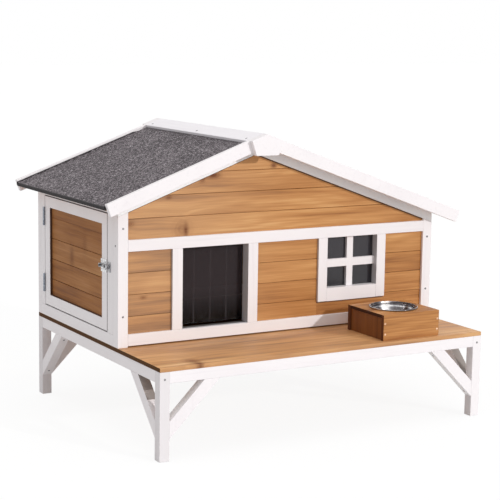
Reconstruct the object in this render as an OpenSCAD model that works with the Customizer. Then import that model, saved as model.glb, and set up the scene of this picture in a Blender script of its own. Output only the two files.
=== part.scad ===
/* [Platform] */
// Width of the platform, left to right
deck_w = 1100; // [1060:10:1160]
// Depth of the platform, front to back
deck_d = 870; // [820:10:940]
// Thickness of the platform panel
deck_t = 12; // [9:1:18]
// Height of the platform's top above the ground
deck_h = 264; // [240:2:300]
// Side of the square legs
leg_w = 30; // [26:1:36]
// Height of the aprons under the panel
apron_h = 33; // [28:1:38]
// Thickness of the aprons
apron_t = 20; // [16:1:24]
// Reach of a brace's inner edge along the leg and the apron
brace_reach = 108; // [90:2:120]
// Width of a brace across its run
brace_w = 34; // [26:1:36]

/* [House frame] */
// Depth of the open porch in front of the house
porch_d = 270; // [250:5:290]
// Width of the corner posts
post_w = 32; // [28:1:36]
// Thickness of the front wall's frame
front_t = 34; // [30:1:36]
// Thickness of the rear wall's frame
rear_t = 24; // [22:1:30]
// Thickness of the side walls' frames
side_t = 28; // [24:1:32]
// Height of the front and rear rails and beams
rail_h = 34; // [30:1:37]
// Gap between the front and rear bottom rails and the platform
rail_lift = 4; // [2:1:6]
// Height of the beams' undersides above the platform
beam_z = 278; // [272:1:280]
// Height of the side walls' bottom rails
side_rail_h = 34; // [30:1:38]
// Height of the side walls' top rails
side_top_h = 38; // [34:1:42]
// Width of the side walls' front stiles
side_stile_front = 37; // [30:1:42]
// Width of the side walls' rear stiles
side_stile_rear = 31; // [28:1:38]

/* [Boards] */
// Thickness of the wall boards
board_t = 12; // [9:1:13]
// Depth of the boards behind the frame's face
board_inset = 8; // [5:1:9]
// Visible height of one board
board_pitch = 63; // [56:1:70]
// Visible height of the lowest board in the gables
gable_first = 59; // [50:1:65]
// Width of the groove between two boards
groove_w = 3; // [2:0.5:4]
// Depth of the groove between two boards
groove_d = 2; // [1:0.5:3]

/* [Doorway and window] */
// Distance of the doorway from the left corner of the house
doorway_x = 207; // [190:1:225]
// Width of the doorway
doorway_w = 220; // [200:1:232]
// Width of the stiles beside the doorway
doorway_stile = 33; // [28:1:36]
// Distance of the window from the left corner of the house
window_x = 707; // [690:1:725]
// Width of the window opening
window_w = 184; // [170:1:200]
// Height of the window opening's lower edge above the platform
window_z = 121; // [110:1:130]
// Width of the stiles beside the window
window_stile = 32; // [28:1:36]
// Height of the rail under the window
sill_h = 41; // [34:1:46]
// Width of the upright glazing bar
bar_w = 23; // [18:1:28]
// Height of the level glazing bar
bar_h = 25; // [18:1:28]
// Height of the level bar's middle above the platform
bar_z = 196; // [185:1:210]
// Depth of the glazing bars
bar_t = 10; // [8:1:12]
// Depth of the glazing bars behind the frame's face
bar_inset = 15; // [12:1:18]
// Thickness of the pane
pane_t = 3; // [2:0.5:4]

/* [Hanging strips] */
// Thickness of a strip
strip_t = 2; // [1.5:0.1:2.4]
// Gap between strips and beside them
strip_gap = 0.8; // [0.6:0.1:1.2]
// Gap between the strips' lower ends and the bottom rail
strip_lift = 6; // [4:1:12]
// Radius of the round hem that a strip hangs by
hem_r = 1.6; // [1.4:0.1:1.8]
// Height of the batten that carries the strips
header_h = 24; // [18:1:30]
// Thickness of that batten
header_t = 12; // [10:1:16]
// Length of that batten past each side of the doorway
header_over = 8; // [4:1:20]

/* [Side door] */
// Gap around the side door
door_gap = 3; // [1.5:0.5:3.5]
// Gap between the side door and the stile that carries it
hinge_gap = 3; // [2.8:0.1:3.4]
// Thickness of the side door's frame
door_t = 22; // [18:1:26]
// Width of the side door's stiles
door_stile = 37; // [36:1:42]
// Height of the side door's rails
door_rail = 34; // [30:1:40]
// Thickness of the side door's boards
door_board_t = 10; // [8:1:10]
// Height of the side door's lowest groove above its lower edge
door_first = 85; // [78:1:92]
// Visible height of the side door's boards
door_pitch = 64.5; // [58:0.5:72]

/* [Roof] */
// Slope of both roof sides in degrees
roof_pitch = 20; // [18:0.5:22]
// Distance of the ridge from the left face of the house
ridge_x = 450; // [435:5:465]
// Height of the roof boards' underside at the right wall
eave_h = 349.8; // [347:0.2:356]
// Reach of the barge boards past the left wall
eave_left = 57; // [45:1:70]
// Reach of the barge boards past the right wall
eave_right = 72; // [55:1:85]
// Reach of the roof past the front and rear walls
verge = 50; // [40:1:60]
// Thickness of the roof boards
roof_t = 8; // [6:1:12]
// Thickness of the felt
felt_t = 3; // [2:0.5:4]
// Thickness of the felt's folded edge at the eaves
felt_lip = 5; // [4:0.5:7]
// Height of that folded edge
felt_drop = 6; // [4:1:8]
// Width of the barge boards
barge_w = 38; // [36:1:42]
// Thickness of the barge boards
barge_t = 15; // [12:1:18]
// Reach of the barge boards below the roof boards' underside
barge_drop = 18; // [14:1:19]
// Width of a ridge cap board
cap_w = 52; // [44:1:70]
// Thickness of the ridge cap boards
cap_t = 9; // [7:1:9]
// Width of the rails that follow the roof at the top of the front and rear walls
rake_w = 40; // [36:1:41]
// Width of a gusset's lower edge
gusset_w = 75; // [64:1:88]
// Height of a gusset at the ridge
gusset_h = 63; // [56:1:70]
// Thickness of the gussets
gusset_t = 15; // [12:1:18]

/* [Hardware] */
// Length of a hinge's knuckles
hinge_len = 57; // [50:1:60]
// Height of the upper hinge's middle above the platform
hinge_high = 317; // [300:1:330]
// Height of the lower hinge's middle above the platform
hinge_low = 106; // [95:1:125]
// Radius of the hinge knuckles
knuckle_r = 3.5; // [3.2:0.1:4]
// Radius of the hinge pins
pin_r = 1.6; // [1.4:0.1:1.8]
// Width of a hinge leaf
leaf_w = 20; // [16:1:21]
// Thickness of a hinge leaf
leaf_t = 1.2; // [1:0.1:1.3]
// Radius of the latch bolt
bolt_r = 3; // [2.5:0.1:3.2]
// Height of the latch bolt above the platform
bolt_z = 228; // [210:1:245]
// Travel of the latch bolt
bolt_travel = 18; // [16:0.5:18]
// Radius of the visible screw heads
screw_r = 3.2; // [2.5:0.1:4]
// Height of the visible screw heads
screw_h = 0.8; // [0.6:0.1:1.2]

/* [Food station] */
// Distance of the box from the left edge of the platform
box_x = 745; // [720:5:770]
// Distance of the box from the front edge of the platform
box_y = 16; // [10:1:30]
// Width of the box
box_w = 203; // [190:1:215]
// Depth of the box
box_d = 190; // [184:1:205]
// Height of the box
box_h = 78; // [72:1:90]
// Thickness of the box's panels
box_t = 12; // [10:1:14]
// Thickness of the box's top
box_top_t = 10; // [8:1:12]
// Depth of the side panels behind the edges of the top
box_side_inset = 5; // [3:1:7]
// Radius of the bowl's rim
bowl_r = 74; // [71:1:76]
// Radius of the hole for the bowl
bowl_hole_r = 67; // [65:0.5:68]
// Depth of the bowl below its rim
bowl_depth = 45; // [38:1:52]
// Thickness of the bowl's wall
bowl_t = 1; // [0.8:0.1:1.4]
// Radius of the roll at the bowl's rim
rim_r = 2.4; // [2:0.1:2.8]

/* [Hidden] */
// Gap that keeps pieces which move apart from touching at rest
clear_gap = 0.3;
// Half of the gap between two pieces that meet at the ridge
ridge_gap = 0.2;
// Gap between sloping pieces that lie on each other
layer_gap = 0.05;
fine = 96;
sp = sin(roof_pitch);
cp = cos(roof_pitch);
tp = tan(roof_pitch);

// Heights above the platform's top
apron_z = -deck_t - apron_h;
rail_z = rail_lift + rail_h;
beam_top = beam_z + rail_h;
ridge_h = eave_h + (deck_w - ridge_x) * tp;

// Depths behind the platform's front edge
front_back = porch_d + front_t;
rear_face = deck_d - rear_t;
side_front = front_back + side_stile_front;
side_rear = rear_face - side_stile_rear;

// Roof side -1 is the left one and 1 the right one
barge_top = barge_w - barge_drop;
felt_top = roof_t + felt_t;
slope_left = (ridge_x + eave_left - barge_top * sp) / cp;
slope_right = (deck_w - ridge_x + eave_right - barge_top * sp) / cp;
function slope_run(side) = side < 0 ? slope_left : slope_right;
// A point of the X-Z plane, run along the slope from the ridge and rise off the boards' underside
function slope_point(side, run, rise) =
    [ridge_x + side * (run * cp + rise * sp), ridge_h - run * sp + rise * cp];
// Run at which a line parallel to the slope starts beside the ridge's upright plane
function ridge_run(rise) = (ridge_gap - rise * sp) / cp;
function under(x) = ridge_h - abs(x - ridge_x) * tp;
function rake(x) = under(x) - rake_w / cp;

// Reach of the felt and the barge boards to both sides, which sets the middle of the whole
felt_reach = (felt_lip + layer_gap) * cp + (felt_top - barge_top) * sp;
left_reach = eave_left + max(0, felt_reach);
right_reach = eave_right + max(0, felt_reach);
centre_x = (deck_w + right_reach - left_reach) / 2;
centre_y = (deck_d + verge + gusset_t - screw_h) / 2;

// Side door
door_y = side_front + door_gap;
door_end = side_rear - hinge_gap;
door_z = side_rail_h + door_gap;
door_top = under(0) - side_top_h - door_gap;
door_panel_x = board_inset;
hinge_x = -knuckle_r;
hinge_y = door_end + hinge_gap / 2;
leaf_x = 0.6;
pin_head = 1;

// Hanging strips
strip_w = (doorway_w - 5 * strip_gap) / 4;
hem_y = front_back + hem_r + 0.4;
hem_z = beam_z + 0.2 - hem_r;

// Latch, measured from the door's front edge and the wall's face
bore_play = 0.06;
knob_play = 0.5;
plate_t = 1.5;
plate_y = door_y + 2;
plate_edge = 3;
guide_len = 4;
guide_half = 6;
guide_wall = 1;
knob_r = 2.5;
knob_out = 5;
guide_front = plate_y + plate_edge;
knob_y = guide_front + guide_len + knob_play + bolt_travel + knob_r;
guide_rear = knob_y + knob_r + knob_play;
plate_w = guide_rear + guide_len + plate_edge - plate_y;
bolt_x = -plate_t - bolt_r - 1.5;
bolt_tip = plate_y - knob_play;
bolt_tail = 5;
bolt_len = guide_rear + guide_len + bolt_tail - bolt_tip;
keeper_w = 18;
keeper_h = 30;
keeper_len = 12;
keeper_play = 0.6;
keeper_y = side_front - 5 - keeper_w;

// Moves the house from the platform's front left corner to the middle of the ground plan
module place() {
    translate([-centre_x, -centre_y, deck_h]) children();
}

module block(x0, x1, y0, y1, z0, z1) {
    translate([x0, y0, z0]) cube([x1 - x0, y1 - y0, z1 - z0]);
}

// Extrudes an outline of the X-Z plane from y0 to y1
module along_y(y0, y1) {
    translate([0, y1, 0]) rotate([90, 0, 0]) linear_extrude(height = y1 - y0) children();
}

// Grooves between boards in a face at y, seen from either side
module grooves_y(y, x0, x1, z0, z1, first, pitch) {
    for (z = [first : pitch : z1 - groove_w])
        if (z > z0 + groove_w)
            block(x0 - 1, x1 + 1, y - groove_d, y + groove_d, z - groove_w / 2, z + groove_w / 2);
}

// Grooves between boards in a face at x, seen from either side
module grooves_x(x, y0, y1, z0, z1, first, pitch) {
    for (z = [first : pitch : z1 - groove_w])
        if (z > z0 + groove_w)
            block(x - groove_d, x + groove_d, y0 - 1, y1 + 1, z - groove_w / 2, z + groove_w / 2);
}

function first_groove(z0) = beam_z - board_pitch * floor((beam_z - z0) / board_pitch);

// Boards of the lower front wall
module front_boards(x0, x1, z0, z1) {
    y0 = porch_d + board_inset;
    color("peru") place() difference() {
        block(x0, x1, y0, y0 + board_t, z0, z1);
        grooves_y(y0, x0, x1, z0, z1, first_groove(z0), board_pitch);
    }
}

module gable_outline() {
    top = -layer_gap / cp;
    polygon([[post_w, beam_top], [deck_w - post_w, beam_top],
        [deck_w - post_w, rake(deck_w - post_w) + top], [ridge_x, rake(ridge_x) + top],
        [post_w, rake(post_w) + top]]);
}

// Rail that follows the roof on one side of the ridge
module rake_outline(side) {
    wall = side < 0 ? 0 : deck_w;
    top = ridge_x + side * ridge_gap;
    polygon([[wall, rake(wall)], [top, rake(top)], [top, under(top)], [wall, under(wall)]]);
}

// Layer of the roof between two rises off the boards' underside
module slope_outline(side, run, low, high) {
    polygon([slope_point(side, ridge_run(low), low), slope_point(side, run, low),
        slope_point(side, run, high), slope_point(side, ridge_run(high), high)]);
}

module post_outline(x) {
    polygon([[x, 0], [x + post_w, 0], [x + post_w, rake(x + post_w)], [x, rake(x)]]);
}

// Platform
module deck_panel() {
    color("tan") place() block(0, deck_w, 0, deck_d, -deck_t, 0);
}

module aprons_long() {
    color("white") place() for (y = [0, deck_d - apron_t])
        block(leg_w, deck_w - leg_w, y, y + apron_t, apron_z, -deck_t);
}

module aprons_side() {
    color("white") place() for (x = [0, deck_w - apron_t])
        block(x, x + apron_t, leg_w, deck_d - leg_w, apron_z, -deck_t);
}

module legs(y) {
    color("white") place() for (x = [0, deck_w - leg_w])
        block(x, x + leg_w, y, y + leg_w, -deck_h, -deck_t);
}

module legs_front() {
    legs(0);
}

module legs_rear() {
    legs(deck_d - leg_w);
}

brace_cut = brace_w * sqrt(2);

// Brace that leaves a leg at x = 0 and reaches the apron's underside at z = 0
module brace() {
    along_y(0, leg_w) polygon([[0, -brace_reach], [brace_reach, 0],
        [brace_reach + brace_cut, 0], [0, -brace_reach - brace_cut]]);
}

// Both braces in line with a front or rear apron
module brace_pair() {
    translate([leg_w, 0, apron_z]) children();
    translate([deck_w - leg_w, 0, apron_z]) mirror([1, 0, 0]) children();
}

// Both braces in line with a side apron
module brace_side_pair() {
    translate([0, leg_w, apron_z]) mirror([1, -1, 0]) children();
    translate([0, deck_d - leg_w, apron_z]) mirror([0, 1, 0]) mirror([1, -1, 0]) children();
}

module braces_front() {
    color("white") place() brace_pair() brace();
}

module braces_rear() {
    color("white") place() translate([0, deck_d - leg_w, 0]) brace_pair() brace();
}

module braces_side() {
    color("white") place() for (x = [0, deck_w - leg_w])
        translate([x, 0, 0]) brace_side_pair() brace();
}

// House frame
module post_front_left() {
    color("white") place() along_y(porch_d, front_back) post_outline(0);
}

module post_front_right() {
    color("white") place() along_y(porch_d, front_back) post_outline(deck_w - post_w);
}

module posts_rear() {
    color("white") place() for (x = [0, deck_w - post_w])
        along_y(rear_face, deck_d) post_outline(x);
}

module front_bottom_rail() {
    color("white") place()
        block(post_w, deck_w - post_w, porch_d, front_back, rail_lift, rail_z);
}

module front_beam() {
    color("white") place()
        block(post_w, deck_w - post_w, porch_d, front_back, beam_z, beam_top);
}

module doorway_stiles() {
    color("white") place() for (x = [doorway_x - doorway_stile, doorway_x + doorway_w])
        block(x, x + doorway_stile, porch_d, front_back, rail_z, beam_z);
}

module window_stiles() {
    color("white") place() for (x = [window_x - window_stile, window_x + window_w])
        block(x, x + window_stile, porch_d, front_back, window_z - sill_h, beam_z);
}

module window_sill() {
    color("white") place()
        block(window_x, window_x + window_w, porch_d, front_back, window_z - sill_h, window_z);
}

module window_bars() {
    y0 = porch_d + bar_inset;
    mid_x = window_x + window_w / 2;
    color("white") place() {
        block(mid_x - bar_w / 2, mid_x + bar_w / 2, y0, y0 + bar_t, window_z, beam_z);
        block(window_x, window_x + window_w, y0, y0 + bar_t, bar_z - bar_h / 2, bar_z + bar_h / 2);
    }
}

module window_pane() {
    y0 = porch_d + bar_inset + bar_t;
    color("lightcyan") place()
        block(window_x, window_x + window_w, y0, y0 + pane_t, window_z, beam_z);
}

module rakes(y0, y1) {
    color("white") place() for (side = [-1, 1])
        along_y(y0, y1) rake_outline(side);
}

module rakes_front() {
    rakes(porch_d, front_back);
}

module rakes_rear() {
    rakes(rear_face, deck_d);
}

module side_rails() {
    color("white") place() for (x = [0, deck_w - side_t]) {
        top = under(x == 0 ? 0 : deck_w);
        block(x, x + side_t, front_back, rear_face, 0, side_rail_h);
        block(x, x + side_t, front_back, rear_face, top - side_top_h, top);
    }
}

module side_stiles() {
    color("white") place() for (x = [0, deck_w - side_t]) {
        top = under(x == 0 ? 0 : deck_w) - side_top_h;
        block(x, x + side_t, front_back, side_front, side_rail_h, top);
        block(x, x + side_t, side_rear, rear_face, side_rail_h, top);
    }
}

module rear_rails() {
    color("white") place() for (z = [rail_lift, beam_z])
        block(post_w, deck_w - post_w, rear_face, deck_d, z, z + rail_h);
}

// Cladding
module boards_front_left() {
    front_boards(post_w, doorway_x - doorway_stile, rail_z, beam_z);
}

module boards_front_middle() {
    front_boards(doorway_x + doorway_w + doorway_stile, window_x - window_stile, rail_z, beam_z);
}

module boards_under_window() {
    front_boards(window_x - window_stile, window_x + window_w + window_stile,
        rail_z, window_z - sill_h);
}

module boards_front_right() {
    front_boards(window_x + window_w + window_stile, deck_w - post_w, rail_z, beam_z);
}

module boards_gable_front() {
    y0 = porch_d + board_inset;
    color("peru") place() difference() {
        along_y(y0, y0 + board_t) gable_outline();
        grooves_y(y0, post_w, deck_w - post_w, beam_top, ridge_h, beam_top + gable_first,
            board_pitch);
    }
}

module boards_right() {
    face = deck_w - board_inset;
    top = under(deck_w) - side_top_h;
    color("peru") place() difference() {
        block(face - board_t, face, side_front, side_rear, side_rail_h, top);
        grooves_x(face, side_front, side_rear, side_rail_h, top,
            first_groove(side_rail_h), board_pitch);
    }
}

module boards_rear() {
    face = deck_d - board_inset;
    color("peru") place() difference() {
        block(post_w, deck_w - post_w, face - board_t, face, rail_z, beam_z);
        grooves_y(face, post_w, deck_w - post_w, rail_z, beam_z,
            first_groove(rail_z), board_pitch);
    }
}

module boards_gable_rear() {
    face = deck_d - board_inset;
    color("peru") place() difference() {
        along_y(face - board_t, face) gable_outline();
        grooves_y(face, post_w, deck_w - post_w, beam_top, ridge_h,
            beam_top + gable_first, board_pitch);
    }
}

// Roof
roof_front = porch_d - verge;
roof_rear = deck_d + verge;

module roof_panel(side) {
    color("burlywood") place() along_y(roof_front + barge_t, roof_rear - barge_t)
        slope_outline(side, slope_run(side), layer_gap, roof_t);
}

module roof_panel_left() {
    roof_panel(-1);
}

module roof_panel_right() {
    roof_panel(1);
}

// Felt on the boards, folded down over their ends at the eaves
module felt(side) {
    inner = slope_run(side) + layer_gap;
    outer = inner + felt_lip;
    low = roof_t + layer_gap;
    color("dimgray") place() along_y(roof_front + barge_t, roof_rear - barge_t)
        polygon([slope_point(side, ridge_run(low), low), slope_point(side, inner, low),
            slope_point(side, inner, roof_t - felt_drop),
            slope_point(side, outer, roof_t - felt_drop), slope_point(side, outer, felt_top),
            slope_point(side, ridge_run(felt_top), felt_top)]);
}

module felt_left() {
    felt(-1);
}

module felt_right() {
    felt(1);
}

module barge(side, y0) {
    color("white") place() along_y(y0, y0 + barge_t)
        slope_outline(side, slope_run(side), -barge_drop, barge_top);
}

module barge_front_left() {
    barge(-1, roof_front);
}

module barge_front_right() {
    barge(1, roof_front);
}

module barges_rear() {
    for (side = [-1, 1])
        barge(side, roof_rear - barge_t);
}

module ridge_caps() {
    color("white") place() for (side = [-1, 1])
        along_y(roof_front + barge_t, roof_rear - barge_t)
            slope_outline(side, cap_w, felt_top + layer_gap, felt_top + cap_t);
}

// Gusset with ends square to the roof's slopes and a level lower edge
module gusset_outline() {
    peak = ridge_h + barge_top / cp;
    low = peak - gusset_h;
    end = (gusset_h - gusset_w / 2 * tp) / (cp + sp * tp);
    half = gusset_w / 2 + end * sp;
    polygon([[ridge_x, peak], [ridge_x + half, low + end * cp], [ridge_x + gusset_w / 2, low],
        [ridge_x - gusset_w / 2, low], [ridge_x - half, low + end * cp]]);
}

module ridge_gussets() {
    color("white") place() for (y = [roof_front - gusset_t, roof_rear])
        along_y(y, y + gusset_t) gusset_outline();
}

// Doorway strips, each on its own round hem below the batten
module strip_header() {
    z0 = hem_z + hem_r + clear_gap;
    color("white") place() block(doorway_x - header_over, doorway_x + doorway_w + header_over,
        front_back, front_back + header_t, z0, z0 + header_h);
}

module strip(place_no) {
    x0 = doorway_x + strip_gap + (place_no - 1) * (strip_w + strip_gap);
    color("lightsteelblue") place() {
        translate([x0, hem_y, hem_z]) rotate([0, 90, 0])
            cylinder(r = hem_r, h = strip_w, $fn = 32);
        block(x0, x0 + strip_w, hem_y - strip_t / 2, hem_y + strip_t / 2,
            rail_z + strip_lift, hem_z);
    }
}

module strip_1() {
    strip(1);
}

module strip_2() {
    strip(2);
}

module strip_3() {
    strip(3);
}

module strip_4() {
    strip(4);
}

// Side door
module side_door_frame() {
    color("white") place() difference() {
        block(0, door_t, door_y, door_end, door_z, door_top);
        block(-1, door_t + 1, door_y + door_stile, door_end - door_stile,
            door_z + door_rail, door_top - door_rail);
    }
}

module side_door_boards() {
    y0 = door_y + door_stile;
    y1 = door_end - door_stile;
    z0 = door_z + door_rail;
    z1 = door_top - door_rail;
    color("peru") place() difference() {
        block(door_panel_x, door_panel_x + door_board_t, y0, y1, z0, z1);
        grooves_x(door_panel_x, y0, y1, z0, z1, door_z + door_first, door_pitch);
    }
}

knuckle_step = hinge_len / 5;
hinge_heights = [hinge_low, hinge_high];

// One of a hinge's five knuckles, with the tab that joins it to its leaf
module knuckle(z, step, y0) {
    low = z - hinge_len / 2 + step * knuckle_step + clear_gap / 2;
    high = low + knuckle_step - clear_gap;
    translate([hinge_x, hinge_y, low])
        cylinder(r = knuckle_r, h = high - low, $fn = fine);
    block(hinge_x, leaf_x, y0, y0 + leaf_t, low, high);
}

// The pin and the knuckles on it are one solid, as a riveted pin makes them
module hinge_wall_leaves() {
    y0 = side_rear - leaf_t;
    color("silver") place() for (z = hinge_heights) {
        block(leaf_x, leaf_w, y0, side_rear, z - hinge_len / 2, z + hinge_len / 2);
        for (step = [0, 2, 4])
            knuckle(z, step, y0);
        translate([hinge_x, hinge_y, z - hinge_len / 2 - pin_head])
            cylinder(r = pin_r, h = hinge_len + 2 * pin_head, $fn = fine);
    }
}

module hinge_door_leaves() {
    color("silver") place() for (z = hinge_heights)
        difference() {
            union() {
                block(leaf_x, leaf_w, door_end, door_end + leaf_t,
                    z - hinge_len / 2, z + hinge_len / 2);
                for (step = [1, 3])
                    knuckle(z, step, door_end);
            }
            translate([hinge_x, hinge_y, z - hinge_len / 2])
                cylinder(r = pin_r + bore_play, h = hinge_len, $fn = fine);
        }
}

// Block that a round bolt slides through
module guide(y0, y1, bore_r) {
    difference() {
        block(bolt_x - bore_r - guide_wall, -plate_t, y0, y1,
            bolt_z - guide_half, bolt_z + guide_half);
        translate([bolt_x, y0 - 1, bolt_z]) rotate([-90, 0, 0])
            cylinder(r = bore_r, h = y1 - y0 + 2, $fn = fine);
    }
}

module latch_plate() {
    color("silver") place() {
        block(-plate_t, 0, plate_y, plate_y + plate_w, bolt_z - plate_w / 2, bolt_z + plate_w / 2);
        for (y = [guide_front, guide_rear])
            guide(y, y + guide_len, bolt_r + bore_play);
    }
}

module latch_bolt() {
    color("silver") place() {
        translate([bolt_x, bolt_tip, bolt_z]) rotate([-90, 0, 0])
            cylinder(r = bolt_r, h = bolt_len, $fn = fine);
        translate([bolt_x, knob_y, bolt_z]) rotate([0, -90, 0]) {
            cylinder(r = knob_r, h = knob_out, $fn = 48);
            translate([0, 0, knob_out]) cylinder(r = knob_r + 1, h = knob_r, $fn = 48);
        }
    }
}

module latch_keeper() {
    color("silver") place() {
        block(-plate_t, 0, keeper_y, keeper_y + keeper_w,
            bolt_z - keeper_h / 2, bolt_z + keeper_h / 2);
        guide(keeper_y + keeper_w - keeper_len, keeper_y + keeper_w, bolt_r + keeper_play);
    }
}

// Food station, which stands loose on the platform
box_foot = clear_gap;
box_lip_z = box_foot + box_h - box_top_t;
bowl_x = box_x + box_w / 2;
bowl_y = box_y + box_d / 2;

module food_box_ends() {
    color("peru") place() for (y = [box_y, box_y + box_d - box_t])
        block(box_x, box_x + box_w, y, y + box_t, box_foot, box_foot + box_h);
}

module food_box_sides() {
    color("peru") place() for (x = [box_x + box_side_inset,
            box_x + box_w - box_side_inset - box_t])
        block(x, x + box_t, box_y + box_t, box_y + box_d - box_t, box_foot, box_lip_z);
}

module food_box_top() {
    color("peru") place() difference() {
        block(box_x, box_x + box_w, box_y + box_t, box_y + box_d - box_t,
            box_lip_z, box_foot + box_h);
        translate([bowl_x, bowl_y, box_lip_z - 1])
            cylinder(r = bowl_hole_r, h = box_top_t + 2, $fn = fine);
    }
}

bowl_wall_r = bowl_hole_r - 1;
bowl_floor_r = bowl_wall_r - 14;
bowl_collar = 4;
rim_z = box_foot + box_h + clear_gap + rim_r;

// Bowl with a flat floor, a sloping wall, a flange and a rolled rim
module bowl() {
    low = rim_z - bowl_depth;
    flange = rim_z - rim_r + bowl_t;
    color("gainsboro") place() translate([bowl_x, bowl_y, 0]) {
        rotate_extrude($fn = fine) polygon([
            [0, low], [bowl_floor_r, low], [bowl_wall_r, flange - bowl_t - bowl_collar],
            [bowl_wall_r, flange - bowl_t], [bowl_r - rim_r, flange - bowl_t],
            [bowl_r - rim_r, flange], [bowl_wall_r - bowl_t, flange],
            [bowl_wall_r - bowl_t, flange - bowl_collar],
            [bowl_floor_r - bowl_t / 2, low + bowl_t], [0, low + bowl_t]]);
        rotate_extrude($fn = fine) translate([bowl_r - rim_r, rim_z])
            circle(r = rim_r, $fn = 32);
    }
}

head_low = 91;
head_down_left = 77;
head_down_right = 90;
brace_in = 16;
cap_in = 40;
cap_edge = 14;
peg_in = 6;
centre_roof_y = (roof_front + roof_rear) / 2;

// Screw heads stand on the surface at z = 0
module head() {
    cylinder(r = screw_r, h = screw_h, $fn = 24);
}

module head_front(x, y, z) {
    translate([x, y, z]) rotate([90, 0, 0]) head();
}

module head_left(x, y, z) {
    translate([x, y, z]) rotate([0, -90, 0]) head();
}

// Heads in a brace's underside, near both of its ends
module brace_heads() {
    reach = brace_reach + brace_cut;
    for (run = [brace_in, reach - brace_in])
        translate([run, leg_w / 2, run - reach]) rotate([0, 135, 0]) head();
}

// Heads in the front of the food box, which lifts away with it
module box_screws() {
    color("gray") place()
        for (x = [box_x + peg_in, box_x + box_w - peg_in], z = [box_h / 4, box_h * 2 / 3])
            head_front(x, box_y, box_foot + z);
}

module screws() {
    color("gray") place() {
        for (x = [leg_w / 2, deck_w - leg_w / 2])
            head_front(x, 0, -deck_t - apron_h * 5 / 8);
        for (z = [head_low, under(0) - head_down_left])
            head_front(post_w / 2, porch_d, z);
        for (z = [head_low, under(deck_w) - head_down_right])
            head_front(deck_w - post_w / 2, porch_d, z);
        head_left(0, porch_d + front_t / 2, beam_z + rail_h / 2);
        brace_pair() brace_heads();
        translate([0, deck_d - leg_w, 0]) brace_pair() brace_heads();
        for (x = [0, deck_w - leg_w])
            translate([x, 0, 0]) brace_side_pair() brace_heads();
        for (side = [-1, 1], y = [roof_front + cap_in, centre_roof_y, roof_rear - cap_in]) {
            at = slope_point(side, cap_w - cap_edge, felt_top + cap_t);
            translate([at[0], y, at[1]]) rotate([0, side * roof_pitch, 0]) head();
        }
    }
}

deck_panel();
aprons_long();
aprons_side();
legs_front();
legs_rear();
braces_front();
braces_rear();
braces_side();
post_front_left();
post_front_right();
posts_rear();
front_bottom_rail();
front_beam();
doorway_stiles();
window_stiles();
window_sill();
window_bars();
window_pane();
boards_front_left();
boards_front_middle();
boards_under_window();
boards_front_right();
boards_gable_front();
rakes_front();
side_rails();
side_stiles();
boards_right();
rear_rails();
boards_rear();
boards_gable_rear();
rakes_rear();
roof_panel_left();
roof_panel_right();
felt_left();
felt_right();
barge_front_left();
barge_front_right();
barges_rear();
ridge_caps();
ridge_gussets();
strip_header();
strip_1();
strip_2();
strip_3();
strip_4();
side_door_frame();
side_door_boards();
hinge_wall_leaves();
hinge_door_leaves();
latch_plate();
latch_bolt();
latch_keeper();
food_box_ends();
food_box_sides();
food_box_top();
box_screws();
bowl();
screws();
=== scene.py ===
# Cat house on a legged platform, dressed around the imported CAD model
import math
import random

import bmesh
import bpy
import numpy as np
from mathutils import Matrix, Vector, noise


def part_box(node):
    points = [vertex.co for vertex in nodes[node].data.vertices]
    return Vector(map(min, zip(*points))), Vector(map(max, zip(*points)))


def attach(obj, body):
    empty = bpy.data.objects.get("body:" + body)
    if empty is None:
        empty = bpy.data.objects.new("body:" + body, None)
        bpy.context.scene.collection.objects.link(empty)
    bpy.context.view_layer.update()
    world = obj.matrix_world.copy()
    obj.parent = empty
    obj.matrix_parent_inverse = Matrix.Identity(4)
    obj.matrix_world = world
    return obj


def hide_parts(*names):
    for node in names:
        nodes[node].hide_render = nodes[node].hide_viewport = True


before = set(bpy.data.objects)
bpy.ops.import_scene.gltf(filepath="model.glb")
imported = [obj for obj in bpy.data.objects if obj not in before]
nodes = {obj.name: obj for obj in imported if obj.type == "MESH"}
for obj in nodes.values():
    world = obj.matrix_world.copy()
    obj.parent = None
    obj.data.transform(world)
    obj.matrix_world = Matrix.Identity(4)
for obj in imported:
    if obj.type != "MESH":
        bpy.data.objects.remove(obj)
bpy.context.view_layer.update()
print("frame loaded:", len(nodes), "nodes")

mm = 0.001
axisX, axisY, axisZ = (1, 0, 0), (0, 1, 0), (0, 0, 1)  # right, back and up
roofPitch = math.radians(20)
facing = 0.9  # a face looks along an axis above this cosine
leaning = 0.5  # and leans towards it above this one
weldGap = 1e-5  # metres: corners closer than this are one
tiny = 1e-6  # metres or radians that make no difference


def shade(red, green, blue):  # a colour as a picture shows it, 0 to 255
    def linear(value):
        value /= 255
        return value / 12.92 if value <= 0.04045 else ((value + 0.055) / 1.055) ** 2.4
    return (linear(red), linear(green), linear(blue), 1.0)


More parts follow.
